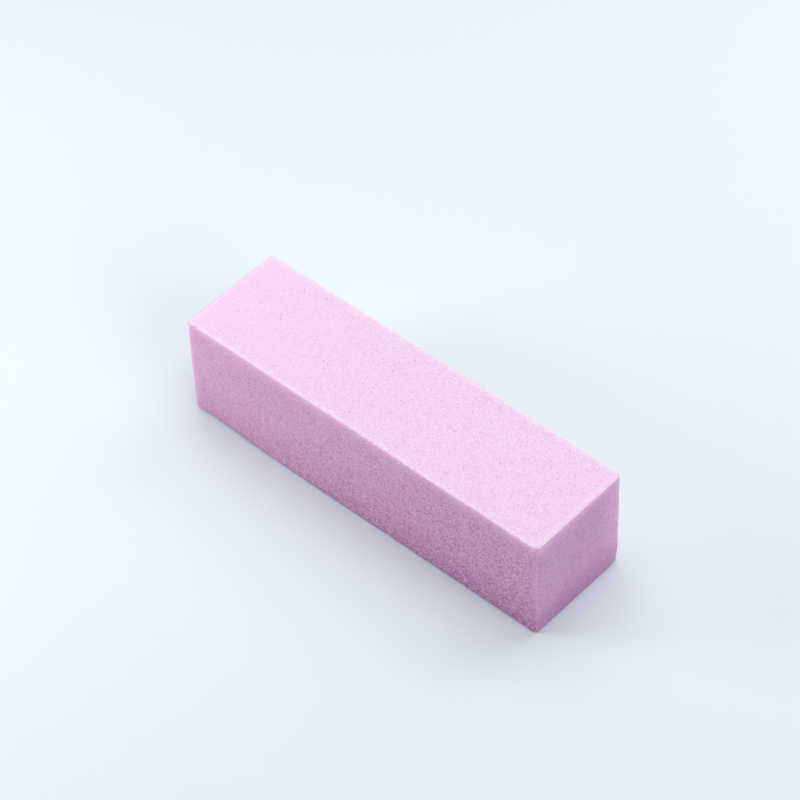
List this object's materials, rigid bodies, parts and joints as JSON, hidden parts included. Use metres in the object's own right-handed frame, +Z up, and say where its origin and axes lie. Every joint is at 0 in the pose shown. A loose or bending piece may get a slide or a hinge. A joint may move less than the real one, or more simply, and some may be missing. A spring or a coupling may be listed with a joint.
{
  "type": "nail buffer block",
  "caption": "Square foam bar for buffing nails, with fine abrasive grit on its long faces and bare foam at its cut ends.",
  "frame": {"origin": "on the surface that the block stands on, under the middle of the bar", "axes": "+X along the bar, -Y towards the front abrasive face, +Z up"},
  "size_m": [0.1, 0.0274, 0.0275],
  "materials": {
    "foam": "matte",
    "bond_resin": "satin",
    "grit": "matte"
  },
  "bodies": {
    "root": {"foam_core": "foam", "top_bond_coat": "bond_resin", "top_grit_coat": "grit", "front_bond_coat": "bond_resin", "front_grit_coat": "grit", "bottom_bond_coat": "bond_resin", "bottom_grit_coat": "grit", "rear_bond_coat": "bond_resin", "rear_grit_coat": "grit"}
  },
  "joints": []
}
